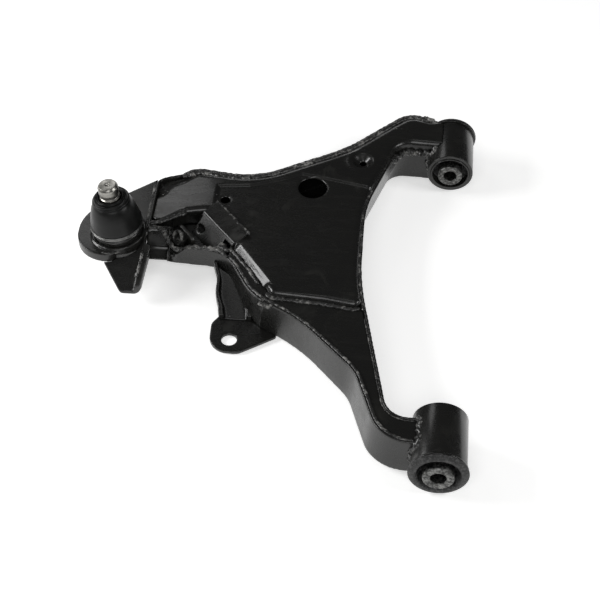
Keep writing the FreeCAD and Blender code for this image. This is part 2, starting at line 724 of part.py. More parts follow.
def check_and_write():
    """Stop on any failed object or bad shape, then write one file for each piece."""
    doc.recompute()
    for item in doc.Objects:
        if "Invalid" in item.State or "Error" in item.State:
            raise RuntimeError("failed object: " + item.Label)
    os.makedirs("parts", exist_ok=True)
    for piece in pieces:
        if piece.Shape.isNull() or not piece.Shape.isValid():
            raise RuntimeError("bad shape: " + piece.Label)
        piece.Shape.exportStep("parts/%s.step" % piece.Label)
        print(piece.Label, len(piece.Shape.Solids), round(piece.Shape.Volume))


lower_shell()
upper_shell()
rear_leg_plate()
pocket_pan()
rear_bush()
front_bush()
ball_stud()
ball_seat()
ball_joint_housing()
dust_boot()
ball_joint_carrier()
steering_stop()
shock_brackets()
link_bracket()
rim_weld()
web_weld()
eye_welds()
check_and_write()
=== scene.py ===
import bpy
import bmesh
import json
import random
import numpy as np
from math import asin, cos, pi, radians, sin
from mathutils import Matrix, Vector, noise


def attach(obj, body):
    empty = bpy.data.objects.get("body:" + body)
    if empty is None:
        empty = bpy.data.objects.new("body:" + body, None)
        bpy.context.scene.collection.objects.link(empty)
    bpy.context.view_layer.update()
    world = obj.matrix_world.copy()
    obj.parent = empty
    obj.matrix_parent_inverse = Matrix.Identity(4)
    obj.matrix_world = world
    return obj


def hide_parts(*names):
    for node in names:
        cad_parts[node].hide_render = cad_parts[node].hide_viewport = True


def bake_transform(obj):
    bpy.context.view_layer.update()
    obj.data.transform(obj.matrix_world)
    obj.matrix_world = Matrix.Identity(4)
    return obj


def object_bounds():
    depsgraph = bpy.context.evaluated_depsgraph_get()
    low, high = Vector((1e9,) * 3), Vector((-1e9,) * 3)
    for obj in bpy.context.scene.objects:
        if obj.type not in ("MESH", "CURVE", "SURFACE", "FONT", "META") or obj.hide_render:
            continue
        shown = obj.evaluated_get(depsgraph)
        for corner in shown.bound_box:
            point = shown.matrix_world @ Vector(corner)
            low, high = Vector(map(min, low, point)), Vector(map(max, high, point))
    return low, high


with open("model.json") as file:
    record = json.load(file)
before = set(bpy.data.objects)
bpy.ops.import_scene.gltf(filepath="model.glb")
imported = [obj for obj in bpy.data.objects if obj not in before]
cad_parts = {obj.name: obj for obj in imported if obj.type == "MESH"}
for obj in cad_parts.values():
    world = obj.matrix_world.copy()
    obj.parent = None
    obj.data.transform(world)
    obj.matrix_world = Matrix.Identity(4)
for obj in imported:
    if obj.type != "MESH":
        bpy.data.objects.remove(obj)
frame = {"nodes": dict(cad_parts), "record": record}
cad_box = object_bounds()

MM = 0.001
ON_AXIS = 0.01                      # mm; a turned point nearer than this lies on the axis
WAVE_COUNT = 7                      # ripples laid over each other in pressed sheet
BEAD_AROUND = 14                    # points round a weld bead's section
scene = bpy.context.scene

# ---------------------------------------------------------------- the arm's dimensions, in mm

FLOOR = -27.0                       # underside of the legs
RIM = 19.0                          # top of the lower shell
LEG_TOP = 17.0                      # top of the rear leg's cover plate
REAR_R = 28.4                       # radius of the rear eye
FRONT_R = 26.3                      # radius of the front eye
FRONT_Y = 435.0                     # centre of the front bush
UP = (0, 0, 1)
BALL = Vector((-363.0, 258.5, 12.0))
LEAN = radians(-6.0)                # the ball joint leans outboard
BALL_PLACE = Matrix.Translation(BALL * MM) @ Matrix.Rotation(LEAN, 4, "Y")
SHOCK = Vector((-278.0, 274.0, 0.0))
SHOCK_TURN = radians(40)
SHOCK_PLACE = Matrix.Translation(SHOCK * MM) @ Matrix.Rotation(SHOCK_TURN, 4, "Z")
REAR_PLACE = Matrix.Rotation(radians(-90), 4, "X")
FRONT_PLACE = Matrix.Translation(Vector((0, FRONT_Y * MM, 0))) @ REAR_PLACE

# The outlines' corners are (x, y, radius).
REAR_RIM = [(6, -13, 0), (-60, -13, 46), (-91, 76, 60), (-160, 149, 200), (-206, 170, 75), (-242, 234, 42)]
OUTBOARD_END = [(-333, 239, 8), (-333, 331, 12)]
FRONT_RIM = [(-291, 366, 22), (-222, 356, 90), (-122, 415, 150), (-52, 485, 28), (6, 464, 0)]
INNER_BAY = [(6, 421, 0), (-60, 424, 22), (-93, 320, 170), (-92, 205, 400), (-53, 20, 26), (6, 20, 0)]
ARM = REAR_RIM + OUTBOARD_END + FRONT_RIM + INNER_BAY
WEB_EDGE = [(-83, 157, 12), (-130, 165, 60), (-188, 169, 12), (-196, 184, 20), (-236, 233, 12),
            (-236, 247, 12), (-265, 291, 12), (-291, 288, 12), (-333, 268, 12)]
ARC_STEP = 1.5                      # between the points of a rounded corner


def rounded(corners):
    """Points round a closed flat outline of rounded corners."""
    spots = [Vector((x, y)) for x, y, _ in corners]
    points = []
    for index, here in enumerate(spots):
        radius = corners[index][2]
        if radius == 0:
            points.append(here)
            continue
        a = (spots[index - 1] - here).normalized()
        b = (spots[(index + 1) % len(spots)] - here).normalized()
        half = a.angle(b) / 2
        reach = radius * cos(half) / sin(half)
        middle = here + (a + b).normalized() * (radius / sin(half))
        start = here + a * reach - middle
        end = here + b * reach - middle
        turn = start.angle_signed(end)
        count = max(3, int(abs(turn) * radius / ARC_STEP))
        for k in range(count + 1):
            angle = -turn * k / count
            points.append(middle + Vector((start.x * cos(angle) - start.y * sin(angle),
                                           start.x * sin(angle) + start.y * cos(angle))))
    return points


def even(points, step):
    """The same open line with points at even steps."""
    line = np.array([tuple(p) for p in points], float)
    gaps = np.linalg.norm(np.diff(line, axis=0), axis=1)
    line = line[np.concatenate(([True], gaps > 1e-6))]
    gaps = np.linalg.norm(np.diff(line, axis=0), axis=1)
    along = np.concatenate(([0], np.cumsum(gaps)))
    count = max(4, int(along[-1] / step))
    spots = np.linspace(0, along[-1], count + 1)
    return np.stack([np.interp(spots, along, line[:, k]) for k in range(line.shape[1])], 1)


def stretch(points, inset, start, end):
    """An outline's points, drawn in by an inset, from the one nearest start to the one nearest end."""
    line = even(list(points) + [points[0]], 1.0)[:-1]
    ahead = np.roll(line, -1, 0) - np.roll(line, 1, 0)
    ahead /= np.linalg.norm(ahead, axis=1)[:, None]
    area = np.sum(line[:, 0] * np.roll(line[:, 1], -1) - np.roll(line[:, 0], -1) * line[:, 1])
    inward = np.stack([-ahead[:, 1], ahead[:, 0]], 1) * (1 if area > 0 else -1)
    line = line + inward * inset
    first = int(np.argmin(np.linalg.norm(line - np.array(start), axis=1)))
    last = int(np.argmin(np.linalg.norm(line - np.array(end), axis=1)))
    if last < first:
        last += len(line)
    return line[np.arange(first, last + 1) % len(line)]


def at_height(flat, height):
    """A flat line lifted to one height."""
    return np.column_stack([flat, np.full(len(flat), float(height))])


# ---------------------------------------------------------------- meshes

def add_piece(name, mesh, place=None):
    """A new object in the scene for a mesh."""
    piece = bpy.data.objects.new(name, mesh)
    scene.collection.objects.link(piece)
    if place is not None:
        piece.matrix_world = place
    return piece


def from_bmesh(name, bm, place=None):
    """A smooth-shaded object from a bmesh."""
    bmesh.ops.recalc_face_normals(bm, faces=bm.faces)
    mesh = bpy.data.meshes.new(name)
    bm.to_mesh(mesh)
    bm.free()
    mesh.shade_smooth()
    return add_piece(name, mesh, place)


def bake(piece):
    """Make a piece's modifiers part of its mesh."""
    bpy.context.view_layer.update()
    shown = piece.evaluated_get(bpy.context.evaluated_depsgraph_get())
    mesh = bpy.data.meshes.new_from_object(shown)
    piece.modifiers.clear()
    piece.data = mesh
    mesh.shade_smooth()


def fine_copy(node, voxel, rounds):
    """A CAD node's shape as an even, slightly rounded mesh, ready for pressing and bending."""
    mesh = frame["nodes"][node].data.copy()
    bm = bmesh.new()
    bm.from_mesh(mesh)
    bmesh.ops.remove_doubles(bm, verts=bm.verts, dist=1e-6)
    bm.to_mesh(mesh)
    bm.free()
    piece = add_piece(node + "_look", mesh)
    even_grid = piece.modifiers.new("even", "REMESH")
    even_grid.mode = "VOXEL"
    even_grid.voxel_size = voxel * MM
    round_off = piece.modifiers.new("round", "SMOOTH")
    round_off.factor = 0.5
    round_off.iterations = rounds
    bake(piece)
    piece.data.materials.clear()
    return piece


def points_of(piece):
    """A mesh's vertices in mm."""
    flat = np.empty(len(piece.data.vertices) * 3, np.float32)
    piece.data.vertices.foreach_get("co", flat)
    return flat.reshape(-1, 3).astype(float) / MM


def move_points(piece, points):
    """Put a mesh's vertices at new places in mm."""
    piece.data.vertices.foreach_set("co", (points * MM).astype(np.float32).ravel())
    piece.data.update()


def ease(value):
    """A smooth step from 0 to 1."""
    value = np.clip(value, 0, 1)
    return value * value * (3 - 2 * value)


def polygon_depth(points, polygon):
    """How far each point lies inside a flat polygon; negative outside."""
    x, y = points[:, 0], points[:, 1]
    inside = np.zeros(len(points), bool)
    nearest = np.full(len(points), np.inf)
    count = len(polygon)
    for k in range(count):
        ax, ay = polygon[k]
        bx, by = polygon[(k + 1) % count]
        crosses = (ay > y) != (by > y)
        with np.errstate(divide="ignore", invalid="ignore"):
            edge_x = (bx - ax) * (y - ay) / (by - ay) + ax
        inside ^= crosses & (x < edge_x)
        length = (bx - ax) ** 2 + (by - ay) ** 2
        share = np.clip(((x - ax) * (bx - ax) + (y - ay) * (by - ay)) / max(length, 1e-9), 0, 1)
        away = np.hypot(x - ax - share * (bx - ax), y - ay - share * (by - ay))
        nearest = np.minimum(nearest, away)
    return np.where(inside, nearest, -nearest)


def edge_distance(points, line):
    """How far each point lies from an open flat line."""
    nearest = np.full(len(points), np.inf)
    for a, b in zip(line[:-1], line[1:]):
        run = b - a
        share = np.clip(((points[:, :2] - a) @ run) / (run @ run), 0, 1)
        away = np.hypot(points[:, 0] - a[0] - share * run[0], points[:, 1] - a[1] - share * run[1])
        nearest = np.minimum(nearest, away)
    return nearest


def waves(points, scale, seed):
    """Slow uneven ripples, as in pressed sheet, between about -1 and 1."""
    rng = np.random.default_rng(seed)
    total = np.zeros(len(points))
    for _ in range(WAVE_COUNT):
        aim = rng.normal(size=3)
        aim /= np.linalg.norm(aim) * scale * rng.uniform(0.6, 1.6)
        total += np.sin(points @ (aim * 2 * pi) + rng.uniform(0, 2 * pi))
    return total / (WAVE_COUNT / 2)


def softened(profile, corner):
    """A profile's points, with a small curve in place of each corner off the axis."""
    soft = []
    for index, point in enumerate(profile):
        here = Vector(point)
        if here.x < ON_AXIS:
            soft.append(here)
            continue
        before = Vector(profile[index - 1]) - here
        after = Vector(profile[(index + 1) % len(profile)]) - here
        size = min(corner, before.length * 0.45, after.length * 0.45)
        first = here + before.normalized() * size
        last = here + after.normalized() * size
        for k in range(4):
            t = k / 3
            soft.append(first * (1 - t) ** 2 + here * 2 * t * (1 - t) + last * t ** 2)
    return soft


def lathe(name, profile, place, segments, corner, closed=True):
    """A turned shape from (radius, height) corners in mm, each softened by a small curve."""
    bm = bmesh.new()
    rings = []
    for spot in softened(profile, corner):
        if spot.x < ON_AXIS:
            rings.append([bm.verts.new((0, 0, spot.y * MM))])
            continue
        turns = [2 * pi * k / segments for k in range(segments)]
        rings.append([bm.verts.new((spot.x * MM * cos(turn), spot.x * MM * sin(turn), spot.y * MM))
                      for turn in turns])
    pairs = len(rings) if closed else len(rings) - 1
    for index in range(pairs):
        low, high = rings[index], rings[(index + 1) % len(rings)]
        if len(low) == 1 and len(high) == 1:
            continue
        for k in range(segments):
            n = (k + 1) % segments
            if len(low) == 1:
                bm.faces.new((low[0], high[n], high[k]))
            elif len(high) == 1:
                bm.faces.new((low[k], low[n], high[0]))
            else:
                bm.faces.new((low[k], low[n], high[n], high[k]))
    return from_bmesh(name, bm, place)


def bead_mesh(bm, line, ups, half_width, height, seed, ripple=2.3, rough=0.16):
    """Add one rippled weld bead along a line of points in mm, with the way it faces at each point."""
    line = np.asarray(line, float)
    ups = np.asarray(ups, float)
    if ups.ndim == 1:
        ups = np.tile(ups, (len(line), 1))
    joined = even(np.column_stack([line, ups]), 0.55)
    line, ups = joined[:, :3], joined[:, 3:]
    ahead = np.gradient(line, axis=0)
    ahead /= np.linalg.norm(ahead, axis=1)[:, None]
    side = np.cross(ahead, ups)
    side /= np.linalg.norm(side, axis=1)[:, None]
    up = np.cross(side, ahead)
    along = np.concatenate(([0], np.cumsum(np.linalg.norm(np.diff(line, axis=0), axis=1))))
    total = along[-1]
    rings = []
    for index, s in enumerate(along):
        fade = min(1, 0.35 + min(s, total - s) / (1.5 * half_width))
        ring = []
        for k in range(BEAD_AROUND):
            angle = 2 * pi * k / BEAD_AROUND
            lag = 0.9 * half_width * (cos(angle) ** 2)
            phase = ((s + lag) / ripple + 0.35 * noise.noise((s * 0.13, seed, 0))) % 1.0
            scale = 1 + 0.15 * (0.6 - phase) + rough * noise.noise((s * 0.32, angle * 0.5, seed * 3.1))
            scale += 0.16 * noise.noise((s * 0.07, 5.0, seed * 1.7))
            a, b = half_width * scale * fade, height * scale * fade
            ring.append(bm.verts.new((line[index] + side[index] * a * cos(angle)
                                      + up[index] * b * sin(angle)) * MM))
        rings.append(ring)
    for low, high in zip(rings, rings[1:]):
        for k in range(BEAD_AROUND):
            n = (k + 1) % BEAD_AROUND
            bm.faces.new((low[k], low[n], high[n], high[k]))
    bm.faces.new(rings[0][::-1])
    bm.faces.new(rings[-1])


# ---------------------------------------------------------------- materials

class Finish:
    """A node material with helpers for procedural detail."""

    def __init__(self, name, **sockets):
        self.material = bpy.data.materials.new(name)
        self.material.use_nodes = True
        self.nodes = self.material.node_tree.nodes
        self.links = self.material.node_tree.links
        self.shader = self.nodes["Principled BSDF"]
        for key, setting in sockets.items():
            self.shader.inputs[key.replace("_", " ")].default_value = setting
        self.place = self.nodes.new("ShaderNodeTexCoord")
        self.height = None

    def stretched(self, scale):
        """Object coordinates, scaled along each axis."""
        mapping = self.nodes.new("ShaderNodeMapping")
        mapping.inputs["Scale"].default_value = scale
        self.links.new(self.place.outputs["Object"], mapping.inputs["Vector"])
        return mapping.outputs["Vector"]

    def noise(self, scale, detail=3.0, roughness=0.55, vector=None, distortion=0.0):
        """A cloud pattern, 0 to 1."""
        node = self.nodes.new("ShaderNodeTexNoise")
        node.inputs["Scale"].default_value = scale
        node.inputs["Detail"].default_value = detail
        node.inputs["Roughness"].default_value = roughness
        node.inputs["Distortion"].default_value = distortion
        self.links.new(vector or self.place.outputs["Object"], node.inputs["Vector"])
        return node.outputs["Fac"]

    def cells(self, scale):
        """The distance to the nearest of many scattered points."""
        node = self.nodes.new("ShaderNodeTexVoronoi")
        node.inputs["Scale"].default_value = scale
        self.links.new(self.place.outputs["Object"], node.inputs["Vector"])
        return node.outputs["Distance"]

    def span(self, value, low, high, out_low=0.0, out_high=1.0):
        """A value eased from one range to another."""
        node = self.nodes.new("ShaderNodeMapRange")
        node.interpolation_type = "SMOOTHSTEP"
        for key, setting in (("From Min", low), ("From Max", high), ("To Min", out_low),
                             ("To Max", out_high)):
            node.inputs[key].default_value = setting
        self.links.new(value, node.inputs["Value"])
        return node.outputs["Result"]

    def maths(self, kind, a, b):
        """One sum or product of two values."""
        node = self.nodes.new("ShaderNodeMath")
        node.operation = kind
        for socket, value in zip(node.inputs, (a, b)):
            if isinstance(value, (int, float)):
                socket.default_value = value
            else:
                self.links.new(value, socket)
        return node.outputs["Value"]

    def blend(self, factor, a, b):
        """A mix of two colours."""
        node = self.nodes.new("ShaderNodeMix")
        node.data_type = "RGBA"
        self.links.new(factor, node.inputs["Factor"])
        for socket, value in ((node.inputs[6], a), (node.inputs[7], b)):
            if isinstance(value, tuple):
                socket.default_value = (*value, 1.0)
            else:
                self.links.new(value, socket)
        return node.outputs[2]

    def bump(self, value, depth_mm):
        """Add fine relief of a given depth to the surface."""
        node = self.nodes.new("ShaderNodeBump")
        node.inputs["Strength"].default_value = 1.0
        node.inputs["Distance"].default_value = depth_mm * MM
        self.links.new(value, node.inputs["Height"])
        if self.height is not None:
            self.links.new(self.height, node.inputs["Normal"])
        self.height = node.outputs["Normal"]
        self.links.new(self.height, self.shader.inputs["Normal"])

    def colour(self, value):
        """Use a value as the base colour."""
        self.links.new(value, self.shader.inputs["Base Color"])

    def rough(self, value):
        """Use a value as the roughness."""
        self.links.new(value, self.shader.inputs["Roughness"])


def paint(name, light=0.0, grain=1.0, weld=False):
    """Glossy black dip paint: slow waves, fine orange peel, faint drawn streaks and dull smudges."""
    finish = Finish(name, IOR=1.47, Coat_Weight=0.12, Coat_Roughness=0.08, Coat_IOR=1.5)
    base = finish.noise(14, 4)
    streak = finish.noise(1, 5, 0.6, finish.stretched((30, 150, 60)), 0.6)
    smudge = finish.span(finish.noise(26, 6, 0.65, distortion=0.8), 0.53, 0.74)
    dark = (0.0060 + light, 0.0061 + light, 0.0060 + light)
    mid = (0.0122 + light, 0.0121 + light, 0.0108 + light)
    dull = (0.022 + light, 0.0218 + light, 0.0185 + light)
    colour = finish.blend(base, dark, mid)
    mark = finish.maths("MULTIPLY", finish.span(streak, 0.56, 0.78), 0.35)
    colour = finish.blend(mark, colour, dull)
    colour = finish.blend(finish.maths("MULTIPLY", smudge, 0.55), colour, dull)
    if weld:
        bare = finish.span(finish.noise(120, 5, 0.65), 0.50, 0.66)
        colour = finish.blend(finish.maths("MULTIPLY", bare, 0.75), colour, (0.30, 0.295, 0.28))
    finish.colour(colour)
    value = finish.maths("ADD", finish.span(streak, 0.35, 0.75, 0.25, 0.31),
                         finish.maths("MULTIPLY", smudge, 0.14))
    finish.rough(value)
    finish.bump(finish.noise(22, 2), 0.3 * grain)
    finish.bump(finish.noise(520, 2), 0.018 * grain)
    finish.bump(finish.span(finish.cells(210), 0.0, 0.09), 0.02 * grain)
    if weld:
        finish.bump(finish.noise(780, 4, 0.7), 0.2)
    return finish.material


def bush_rubber_finish():
    """Dull, grainy moulded rubber of the bushes."""
    finish = Finish("bush_rubber_finish", IOR=1.5)
    grain = finish.noise(330, 6, 0.75)
    cloud = finish.noise(90, 4)
    colour = finish.blend(finish.span(grain, 0.42, 0.64), (0.004, 0.004, 0.0042), (0.085, 0.085, 0.084))
    colour = finish.blend(finish.span(cloud, 0.5, 0.7, 0.0, 0.7), colour, (0.012, 0.012, 0.012))
    finish.colour(colour)
    finish.rough(finish.span(grain, 0.3, 0.7, 0.52, 0.8))
    finish.bump(cloud, 0.6)
    finish.bump(grain, 0.4)
    return finish.material


def boot_finish():
    """Dark, satin rubber of the boot."""
    finish = Finish("boot_rubber_finish", IOR=1.33)
    grain = finish.noise(700, 4, 0.6)
    cloud = finish.noise(45, 4)
    colour = finish.blend(cloud, (0.0022, 0.0024, 0.0023), (0.005, 0.0053, 0.005))
    dust = finish.span(finish.noise(120, 5, 0.7), 0.58, 0.75, 0.0, 0.35)
    finish.colour(finish.blend(dust, colour, (0.02, 0.021, 0.02)))
    finish.rough(finish.span(cloud, 0.3, 0.7, 0.30, 0.42))
    finish.bump(finish.noise(30, 2), 0.25)
    finish.bump(grain, 0.02)
    return finish.material


def zinc_finish():
    """Speckled, tarnished plating of the inner sleeves."""
    finish = Finish("zinc_sleeve_finish", Metallic=1.0)
    grain = finish.noise(330, 6, 0.75)
    cloud = finish.noise(110, 4, 0.6, distortion=0.5)
    colour = finish.blend(finish.span(grain, 0.40, 0.64), (0.04, 0.04, 0.039), (0.25, 0.25, 0.242))
    finish.colour(finish.blend(finish.span(cloud, 0.52, 0.75, 0, 0.8), colour, (0.035, 0.035, 0.033)))
    finish.rough(finish.span(cloud, 0.3, 0.75, 0.36, 0.62))
    finish.bump(grain, 0.06)
    return finish.material


def stud_finish():
    """Turned bare steel of the stud."""
    finish = Finish("stud_steel_finish", Metallic=1.0)
    fine = finish.noise(1, 4, 0.6, finish.stretched((60, 60, 2600)))
    cloud = finish.noise(130, 5, 0.65)
    colour = finish.blend(finish.span(fine, 0.35, 0.65), (0.20, 0.195, 0.178), (0.36, 0.352, 0.328))
    finish.colour(finish.blend(finish.span(cloud, 0.54, 0.74, 0, 0.6), colour, (0.10, 0.095, 0.083)))
    finish.rough(finish.span(cloud, 0.3, 0.7, 0.24, 0.42))
    finish.bump(fine, 0.02)
    finish.bump(finish.noise(900, 3), 0.012)
    return finish.material


def spring_finish():
    """Blackened steel of the clamping rings."""
    finish = Finish("spring_steel_finish", Metallic=1.0)
    cloud = finish.noise(220, 4, 0.6)
    finish.colour(finish.blend(cloud, (0.05, 0.05, 0.052), (0.30, 0.30, 0.29)))
    finish.rough(finish.span(cloud, 0.3, 0.7, 0.25, 0.45))
    finish.bump(cloud, 0.05)
    return finish.material


def polymer_finish():
    """Pale moulded plastic of the ball seat."""
    finish = Finish("polymer_finish")
    cloud = finish.noise(90, 3)
    finish.colour(finish.blend(cloud, (0.62, 0.61, 0.56), (0.74, 0.73, 0.69)))
    finish.rough(finish.span(cloud, 0.3, 0.7, 0.4, 0.55))
    finish.bump(finish.noise(500, 2), 0.02)
    return finish.material


PAINT = paint("black_paint_finish")
WELD = paint("weld_paint_finish", light=0.014, grain=1.3, weld=True)
RUBBER = bush_rubber_finish()
BOOT = boot_finish()
ZINC = zinc_finish()
STUD = stud_finish()
SPRING = spring_finish()
POLYMER = polymer_finish()
SLOT_FINISH = {"black_paint": PAINT, "bush_rubber": RUBBER, "boot_rubber": BOOT,
               "zinc_sleeve": ZINC, "stud_steel": STUD, "spring_steel": SPRING,
               "polymer": POLYMER}


def dress(piece, finish, body, nodes=()):
    """Give a piece its material, the body that it rides on and the nodes it stands for."""
    piece.data.materials.clear()
    piece.data.materials.append(finish)
    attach(piece, body)
    if nodes:
        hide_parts(*nodes)


def dress_cad_nodes():
    """Every CAD node gets the procedural finish of its record slot."""
    for subpart in frame["record"]["subparts"]:
        node = frame["nodes"][subpart["node"]]
        finish = SLOT_FINISH[subpart["material_slot"]]
        if not node.material_slots:
            node.data.materials.append(finish)
        for spot in node.material_slots:
            spot.material = finish


# ---------------------------------------------------------------- pressed shells

PANEL = [(-226, 338), (-187, 353), (-168, 362), (-137, 356), (-88, 346), (-84, 320), (-83, 205),
         (-79, 172), (-112, 176), (-181, 177), (-192, 188), (-222, 234), (-236, 262), (-262, 306),
         (-262, 334)]
PANEL_DEPTH = 2.4
RIM_DROP = 5.2                      # how far the upper shell falls towards the front rim
BENDS = (((-238, 244), (-193, 181)), ((-331, 266), (-291, 287)))
BEND_WIDTH = 12.5
DIMPLE = (-102, 389)
DIMPLE_DEPTH = 5.0
CORNER_GAP = 11                     # from the shells' far outboard corner to the carrier's edge


def fill_corner(points):
    """Carry the shells' far outboard corner out to the carrier's edge."""
    x, y = points[:, 0], points[:, 1]
    points[:, 1] += CORNER_GAP * ease((-296 - x) / 34) * ease((y - 320) / 9)


def curve_outboard_panel(points, top):
    """Turn the straight fall of the outboard panel into one long curve."""
    x = points[:, 0]
    straight = 7 * np.clip((-292 - x) / 30, 0, 1) + np.clip((-322 - x) / 23, 0, 1)
    curved = 8 * np.clip((-256 - x) / 77, 0, 1) ** 1.6
    points[:, 2] += (straight - curved) * top


def press_bend(points, start, end):
    """Flatten the shell's shoulder into a wide bend along one line."""
    line = np.array([start, end], float)
    length = np.linalg.norm(line[1] - line[0])
    along = (points[:, :2] - line[0]) @ ((line[1] - line[0]) / length)
    inside = ease(along / 8) * ease((length - along) / 8)
    away = edge_distance(points, line)
    bend = 24.6 - 0.85 * (BEND_WIDTH - away)
    lower_by = np.clip(points[:, 2] - bend, 0, 9) * (away < BEND_WIDTH)
    points[:, 2] -= lower_by * inside * ease((points[:, 2] - 13) / 4)


def press_dimple(points, top):
    """Press the far leg's round dimple, with a raised ring about it."""
    away = np.hypot(points[:, 0] - DIMPLE[0], points[:, 1] - DIMPLE[1])
    points[:, 2] -= DIMPLE_DEPTH * (1 - ease((away - 4) / 9)) * top
    points[:, 2] += 0.9 * np.exp(-((away - 15.0) / 3.5) ** 2) * top


def crown_far_leg(points, top):
    """Crown the far leg's top a little across its width."""
    on_leg = ease((points[:, 1] - 372) / 40) * top
    across = (points[:, 1] - 452) / 30
    crown = (1.0 - 1.6 * across ** 2).clip(-1.5, 1)
    points[:, 2] += crown * on_leg * ease((points[:, 0] + 90) / 50)


def shape_upper(piece):
    """Press the web's recess, the rim, the bends, the dimple and the slow waves of the sheet."""
    points = points_of(piece)
    top = ease((points[:, 2] - 12) / 8)
    curve_outboard_panel(points, top)
    points[:, 2] -= PANEL_DEPTH * ease((polygon_depth(points, PANEL) + 2.0) / 5) * top
    points[:, 2] -= RIM_DROP * (1 - ease((edge_distance(points, front_line) - 5) / 13)) * top
    for start, end in BENDS:
        press_bend(points, start, end)
    press_dimple(points, top)
    points[:, 2] += 0.35 * waves(points, 85, 3) * top
    crown_far_leg(points, top)
    fill_corner(points)
    move_points(piece, points)


def shape_saddle(piece):
    """Lean the saddle's ear over the pocket, below its flange."""
    points = points_of(piece)
    aside = (points[:, 0] - SHOCK.x) * cos(SHOCK_TURN) + (points[:, 1] - SHOCK.y) * sin(SHOCK_TURN)
    points[:, 2] -= 0.34 * np.clip(34 - aside, 0, 19) * ease((points[:, 2] - 8) / 14)
    lean = 0.95 * np.clip(21.5 - points[:, 2], 0, 22)
    points[:, 0] -= lean * cos(SHOCK_TURN)
    points[:, 1] -= lean * sin(SHOCK_TURN)
    move_points(piece, points)


def shape_gusset(piece):
    """Widen the gusset's inboard side towards the near wall, with a wavy outboard edge."""
    points = points_of(piece)
    x, y = points[:, 0], points[:, 1]
    low_end = 1 - ease((y - 182) / 50)
    across = np.clip((x + 245) / 25, 0, 1)
    points[:, 0] += (4 + 9 * low_end) * across
    points[:, 0] += 1.2 * np.sin(y / 5.5) * (1 - across) * ease((y - 180) / 10)
    move_points(piece, points)


def lower_bay_rim(points, share):
    """Lower the rim in the bay's far corner, by the front eye."""
    x, y = points[:, 0], points[:, 1]
    in_corner = ease((x + 82) / 22) * ease((y - 396) / 14) * ease((440 - y) / 8)
    points[:, 2] -= 9.5 * in_corner * share


def scoop_corner(points):
    """Notch the near rim by the pocket, and hollow the sloping corner below it."""
    x, y = points[:, 0], points[:, 1]
    corner = (x < -280) & (y < 262)
    notch = 19 - 13 * ease((-282 - x) / 18) + 0.6 * np.clip(y - 240, 0, 25)
    points[:, 2] = np.where(corner, np.minimum(points[:, 2], notch), points[:, 2])
    ahead = np.clip(y - 239.5, 0, 26)
    scoop = ahead - np.where(ahead < 14, 0.6 * ahead, 8.4 + 1.4 * (ahead - 14))
    sloping = (x < -307) & corner & (points[:, 2] > -6.5)
    points[:, 2] -= np.where(sloping, scoop.clip(0, 10), 0)
    leaning = corner & (x > -307)
    lean = ease((-296 - x) / 11) * np.clip(points[:, 2] + 7, 0, 20) * 0.9
    points[:, 1] += np.where(leaning, lean, 0)


def shape_lower(piece):
    """Shape the rim and the corner by the pocket, and give the walls slow waves."""
    points = points_of(piece)
    share = np.clip((points[:, 2] - FLOOR) / (RIM - FLOOR), 0, 1)
    lower_bay_rim(points, share)
    scoop_corner(points)
    wall = ease((points[:, 2] + 24) / 8)
    points[:, 1] += 0.45 * waves(points, 90, 11) * wall
    points[:, 2] += 0.25 * waves(points, 120, 5) * share
    fill_corner(points)
    move_points(piece, points)


arm_line = rounded(ARM)
front_line = stretch(arm_line, 0.0, (-331, 330), (-20, 476))[::6]
PRESSED = [                         # (node, grid in mm, smoothing rounds, how it is shaped)
    ("upper_shell", 1.15, 5, shape_upper),
    ("lower_shell", 1.25, 6, shape_lower),
    ("rear_leg_plate", 0.9, 4, None),
    ("pocket_pan", 0.9, 4, None),
    ("ball_joint_carrier", 0.8, 6, None),
    ("steering_stop", 0.7, 14, None),
    ("shock_saddle", 0.6, 6, shape_saddle),
    ("shock_ear", 0.6, 6, None),
    ("link_plate", 0.7, 5, None),
    ("link_gusset", 0.7, 6, shape_gusset),
]
sheets = {}
for node, grid, rounds, shaper in PRESSED:
    sheets[node] = fine_copy(node, grid, rounds)
    if shaper:
        shaper(sheets[node])
    dress(sheets[node], PAINT, "arm", [node])

# ---------------------------------------------------------------- weld beads

web_line = rounded(WEB_EDGE + OUTBOARD_END[1:] + FRONT_RIM + INNER_BAY[:3] + [(-92, 205, 290)])


def add_beads(name, bm, nodes=()):
    """Put one piece's weld beads in the scene."""
    dress(from_bmesh(name, bm), WELD, "arm", nodes)


def rim_beads():
    """The bead along the front rim, between the lower shell's lip and the upper shell."""
    bm = bmesh.new()
    line = at_height(stretch(arm_line, 4.6, (-306, 352), (-28, 472)), 19.2)
    bead_mesh(bm, line, UP, 2.9, 2.6, 1, rough=0.4)
    lip = at_height(stretch(arm_line, 1.3, (-306, 354), (-30, 476)), 19.2)
    bead_mesh(bm, lip, UP, 1.5, 1.4, 33, ripple=7.0, rough=0.35)
    tip = [(-36, 478.5, 17.5), (-29, 474.5, 17.8), (-22, 470, 18.0), (-16, 464, 18.4)]
    bead_mesh(bm, even(tip, 2.0), UP, 3.4, 5.0, 32, rough=0.5)
    inner = at_height(stretch(arm_line, 7.4, (-300, 352), (-212, 352)), 19.6)
    bead_mesh(bm, inner, UP, 2.6, 2.0, 31, ripple=4.5, rough=1.1)
    add_beads("rim_bead", bm, ["rim_weld"])


